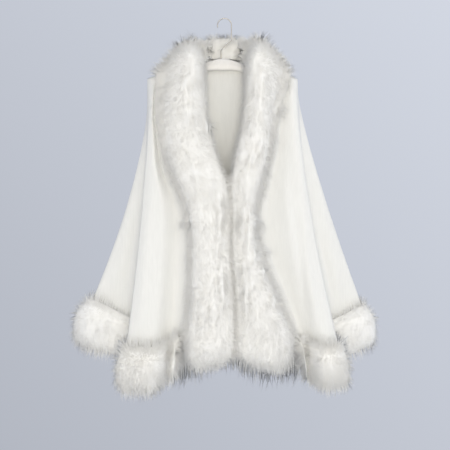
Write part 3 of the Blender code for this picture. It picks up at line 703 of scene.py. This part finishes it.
# %% The knit's material
WALE = 0.0026                # width of one column of stitches
COURSE = 0.0019              # height of one row of stitches
SLANT = 0.55                 # share of a row by which a leg rises
YARN_STREAKS = (260.0, 260.0, 22.0)     # for each metre along x, y and z
WAVES = 14.0                 # soft waves for each metre
Relief = namedtuple("Relief", "loops streaks waves")
RELIEF = Relief(0.5, 0.6, 1.5)
RELIEF_HEIGHT = 0.0008
KNIT_WHITES = ((0.875, 0.87, 0.84, 1), (0.91, 0.905, 0.875, 1))
knit_finish, shader = new_material("cream_knit")
place = place_on(knit_finish)
leg = place.maths("PINGPONG", place.axis("X") * (1 / WALE), 0.5) * 2.0
stitch = place.maths("SINE", (place.axis("Z") * (1 / COURSE) + leg * SLANT) * math.tau) * 0.5 + 0.5
loops = stitch * (leg * (1 - leg) * 4.0)
drawn_out = place.node("ShaderNodeMapping", None, {"Vector": place, "Scale": YARN_STREAKS})
streaks = drawn_out.noise(1.0, 3.0)
height = loops * RELIEF.loops + streaks * RELIEF.streaks + place.noise(WAVES, 2.0) * RELIEF.waves
bump = place.node("ShaderNodeBump", None, {"Strength": 0.5, "Distance": RELIEF_HEIGHT, "Height": height})
place.feed(shader.inputs["Base Color"], blend(streaks, 0.3, 0.7, KNIT_WHITES))
place.feed(shader.inputs["Normal"], bump)
set_shader(shader, {"Roughness": 0.9, "Sheen Weight": 0.15, "Sheen Roughness": 0.5,
                    "Specular IOR Level": 0.2})
for panel in panels.values():
    panel.data.materials.append(knit_finish)
print(knit_finish.name, "has stitches of", WALE * 1000, "by", COURSE * 1000, "mm")

# %% [markdown]
# Growing the fur
#
# The fur differs from place to place. Round the neck it stands up and outwards. On the front bands it hangs
# down and is a little shorter. Along the hem it droops most, is combed up over the knit at the seam, and has
# the fringe at the back. Each fur solid has its own row of sizes, and its strands are counted so that no
# piece grows too heavy.

# %% Sizes of each fur piece
FurPiece = namedtuple("FurPiece", "node density depth droop lift tips fill fringe")
FUR_PIECES = (
    FurPiece("collar_fur", 270000.0, 0.007, 0.10, 0.0, 0.014, 0.0, 0.0),
    FurPiece("front_band_right", 142000.0, 0.008, 0.55, 0.0, 0.0105, 0.0, 0.0),
    FurPiece("front_band_left", 152000.0, 0.008, 0.55, 0.0, 0.0105, 0.0, 0.0),
    FurPiece("hem_fur_back", 80000.0, 0.005, 0.60, 1.3, 0.0165, 0.0, 0.045),
    FurPiece("hem_fur_front_right", 180000.0, 0.005, 0.60, 1.3, 0.018, 2.5, 0.0),
    FurPiece("hem_fur_front_left", 180000.0, 0.005, 0.60, 1.3, 0.018, 2.5, 0.0),
)
SHARED = {entry.name: entry.shared for entry in FUR_INPUTS if entry.shared is not None}
print("all fur pieces share", SHARED)

# %% Dress each fur solid
def joined(name, meshes):
    """One mesh of several, for the strands' rays to meet."""
    bm = bmesh.new()
    for mesh in meshes:
        bm.from_mesh(mesh)
    together = bpy.data.meshes.new(name)
    bm.to_mesh(together)
    bm.free()
    piece = bpy.data.objects.new(name, together)
    scene.collection.objects.link(piece)
    return piece


cloth = joined("cloth_to_touch", [panel.data for panel in panels.values()])
furs = {}
for seed, row in enumerate(FUR_PIECES):
    fur = merged_copy(row.node, f"pile_{row.node}")
    others = [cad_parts[other.node].data for other in FUR_PIECES if other.node != row.node]
    beside = joined("fur_beside", others)
    modifier = fur.modifiers.new("fur", "NODES")
    modifier.node_group = grow_fur
    density = row.density
    set_inputs(modifier, {**SHARED, "Cloth": cloth, "Beside": beside, "Fur": fur_finish, "Density": density,
                          "Depth": row.depth, "Droop": row.droop, "Lift": row.lift, "Tips": row.tips,
                          "Fill": row.fill, "Fringe": row.fringe, "Seed": seed})
    bpy.context.view_layer.update()
    mesh = applied(fur)
    bpy.data.objects.remove(beside)
    furs[row.node] = fur
    print(fur.name, "has", sum(len(face.vertices) - 2 for face in mesh.polygons), "triangles")
bpy.data.objects.remove(cloth)

# %% [markdown]
# The hanger
#
# A plain white moulded hanger with a bent wire hook. Bevels would round their edges, but not the bends
# between their sections, so both are subdivided copies of their solids. The plastic is a warm white, a little
# glossy where it isn't scuffed. The wire is bright metal that has dulled in places.

# %% The hanger's materials
HANGER_WHITES = ((0.80, 0.775, 0.74, 1), (0.86, 0.84, 0.81, 1))
HANGER_SCUFFS = 90.0         # scuffs for each metre
HANGER_ROUGHNESS = 0.25
WEAR = 0.2                   # roughness that scuffs and dull places add
hanger_finish, shader = new_material("white_plastic")
scuffs = place_on(hanger_finish).noise(HANGER_SCUFFS, 3.0)
scuffs.feed(shader.inputs["Roughness"], scuffs * WEAR + HANGER_ROUGHNESS)
scuffs.feed(shader.inputs["Base Color"], blend(scuffs, 0.3, 0.7, HANGER_WHITES))

WIRE_COLOUR = (0.56, 0.53, 0.49, 1)
WIRE_DULLING = 300.0         # dull places for each metre
WIRE_ROUGHNESS = 0.22
wire_finish, shader = new_material("bright_wire")
dulling = place_on(wire_finish).noise(WIRE_DULLING, 2.0)
dulling.feed(shader.inputs["Roughness"], dulling * WEAR + WIRE_ROUGHNESS)
set_shader(shader, {"Base Color": WIRE_COLOUR, "Metallic": 1.0})
print("the hanger is", hanger_finish.name, "and its hook is", wire_finish.name)

# %% Make the hanger
HangerPart = namedtuple("HangerPart", "node finish levels")
HANGER_PARTS = (
    HangerPart("hanger_body", hanger_finish, 2),
    HangerPart("hanger_hook", wire_finish, 1),
)
hangers = {}
for part in HANGER_PARTS:
    piece = merged_copy(part.node, f"plain_{part.node}")
    mesh = rounded(piece, part.levels, rims=False)
    mesh.materials.append(part.finish)
    hangers[part.node] = piece
    print(piece.name, "has", len(mesh.polygons), "faces")

# %% [markdown]
# Put each piece on the one body
#
# Nothing here moves by itself, so every piece rides on the one body, and the solid that it replaces is
# hidden. The knit panels are sheets of cloth, hung on the hanger's arms.

# %% Ride and replace
SheetCut = namedtuple("SheetCut", "node flat area")
for node, piece in {**panels, **furs, **hangers}.items():
    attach(piece, "root")
    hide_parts(node)
print("dressed", len(panels), "knit panels,", len(furs), "fur pieces and", len(hangers), "hanger parts")

# %% [markdown]
# The camera
#
# The camera looks straight at the garment, level with its middle. It stands three metres away with a long
# lens, so that the front and the back of the hem keep nearly the same size.

# %% Place the camera
VIEW_MIDDLE = Vector((0.0014, 0.0, -0.577))
VIEW_DISTANCE = 3.0
FRAME_SIZE = 1.26            # of the picture's side at the garment
SENSOR = 36.0                # mm
camera_data = bpy.data.cameras.new("camera")
camera_data.sensor_width = SENSOR
camera_data.lens = SENSOR * VIEW_DISTANCE / FRAME_SIZE
camera = bpy.data.objects.new("camera", camera_data)
camera.location = VIEW_MIDDLE - Vector((0, VIEW_DISTANCE, 0))
camera.rotation_euler = (math.radians(90), 0, 0)
scene.collection.objects.link(camera)
scene.camera = camera
print("the lens is", round(camera_data.lens, 1), "mm")

# %% [markdown]
# The floor and the light
#
# Most of the light is soft and comes straight from the front, so the white garment has few shadows. A weaker
# lamp at the upper right and one at the lower left shape the folds, one behind lights the back, and a pale
# blue grey is all round, a little lighter towards the upper right.

# %% Lay the floor
FLOOR_Z = -1.87
FLOOR_RADIUS = 2.2
FLOOR_SIDES = 64
FLOOR_COLOUR = (0.62, 0.64, 0.68, 1)
bm = bmesh.new()
bmesh.ops.create_circle(bm, cap_ends=True, segments=FLOOR_SIDES, radius=FLOOR_RADIUS)
floor_mesh = bpy.data.meshes.new("floor")
bm.to_mesh(floor_mesh)
bm.free()
floor = bpy.data.objects.new("floor", floor_mesh)
floor.location.z = FLOOR_Z
scene.collection.objects.link(floor)
floor_finish, shader = new_material("pale_floor")
set_shader(shader, {"Base Color": FLOOR_COLOUR, "Roughness": 0.9})
floor_mesh.materials.append(floor_finish)

# %% Colour what is all round
WALL_GREYS = ((0.45, 0.475, 0.535, 1), (0.65, 0.685, 0.765, 1))
WALL_SPREAD = 1.2            # how fast the darker grey turns into the lighter one
world = bpy.data.worlds.new("studio")
scene.world = world
world.use_nodes = True
way = Wire(world.node_tree).node("ShaderNodeTexCoord", None, None, "Generated")
share = (way.axis("X") + way.axis("Z")) * WALL_SPREAD + 0.5
way.feed(world.node_tree.nodes["Background"].inputs["Color"], blend(share, 0.0, 1.0, WALL_GREYS))
print("the wall's greys are", WALL_GREYS)

# %% Hang the lamps
Lamp = namedtuple("Lamp", "name place size power")
LAMP_COLOUR = (1.0, 0.935, 0.78)
FUR_BOUNCES = 8              # light scatters many times in white fur
LAMPS = (
    Lamp("key", (1.5, -2.3, 1.0), 1.1, 10.0),
    Lamp("front", (0.1, -3.2, -0.5), 1.4, 34.5),
    Lamp("fill", (-1.6, -2.6, -1.2), 2.2, 8.5),
    Lamp("back", (0.6, 2.4, 0.8), 1.8, 16.0),
)
for lamp in LAMPS:
    data = bpy.data.lights.new(lamp.name, "AREA")
    data.size = lamp.size
    data.energy = lamp.power
    data.color = LAMP_COLOUR
    light = bpy.data.objects.new(lamp.name, data)
    light.location = lamp.place
    light.rotation_euler = (VIEW_MIDDLE - Vector(lamp.place)).to_track_quat("-Z", "Y").to_euler()
    scene.collection.objects.link(light)
scene.view_settings.view_transform = "Standard"
scene.cycles.diffuse_bounces = FUR_BOUNCES
print("lit by", len(LAMPS), "lamps")
